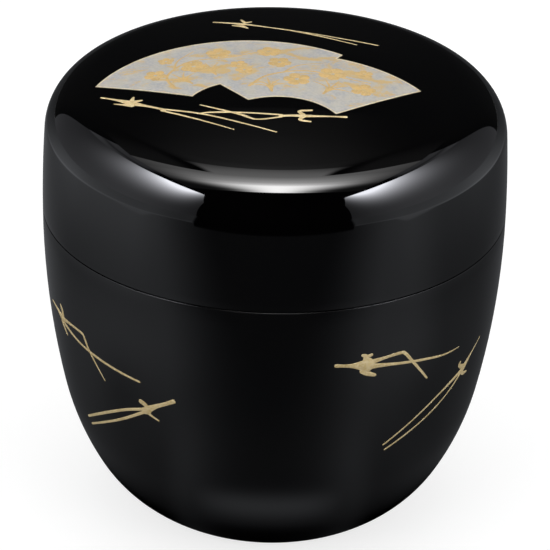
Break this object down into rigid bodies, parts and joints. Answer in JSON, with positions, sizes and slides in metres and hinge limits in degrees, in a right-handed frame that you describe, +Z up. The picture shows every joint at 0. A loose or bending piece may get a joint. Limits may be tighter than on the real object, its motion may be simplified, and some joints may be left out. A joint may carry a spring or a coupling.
{
  "type": "lacquer tea caddy",
  "caption": "Round tea caddy in gloss black lacquer: a turned body with an upright lip and a flush domed lid, with gold pine needles and a powdered picture on fan papers.",
  "frame": {"origin": "centre of the foot ring's face, on the surface that the caddy stands on", "axes": "+Z up along the caddy's axis, -Y towards the front of the picture on the lid"},
  "size_m": [0.066, 0.066, 0.067],
  "materials": {
    "black_lacquer": "polished",
    "gold_powder": "satin",
    "silver_powder": "satin"
  },
  "bodies": {
    "body": {"body": "black_lacquer"},
    "lid": {"lid": "black_lacquer"}
  },
  "joints": [
    {"name": "lid_lift", "type": "slide", "parent": "body", "child": "lid", "axis": [0, 0, 1], "range_m": [0, 0.04]}
  ]
}
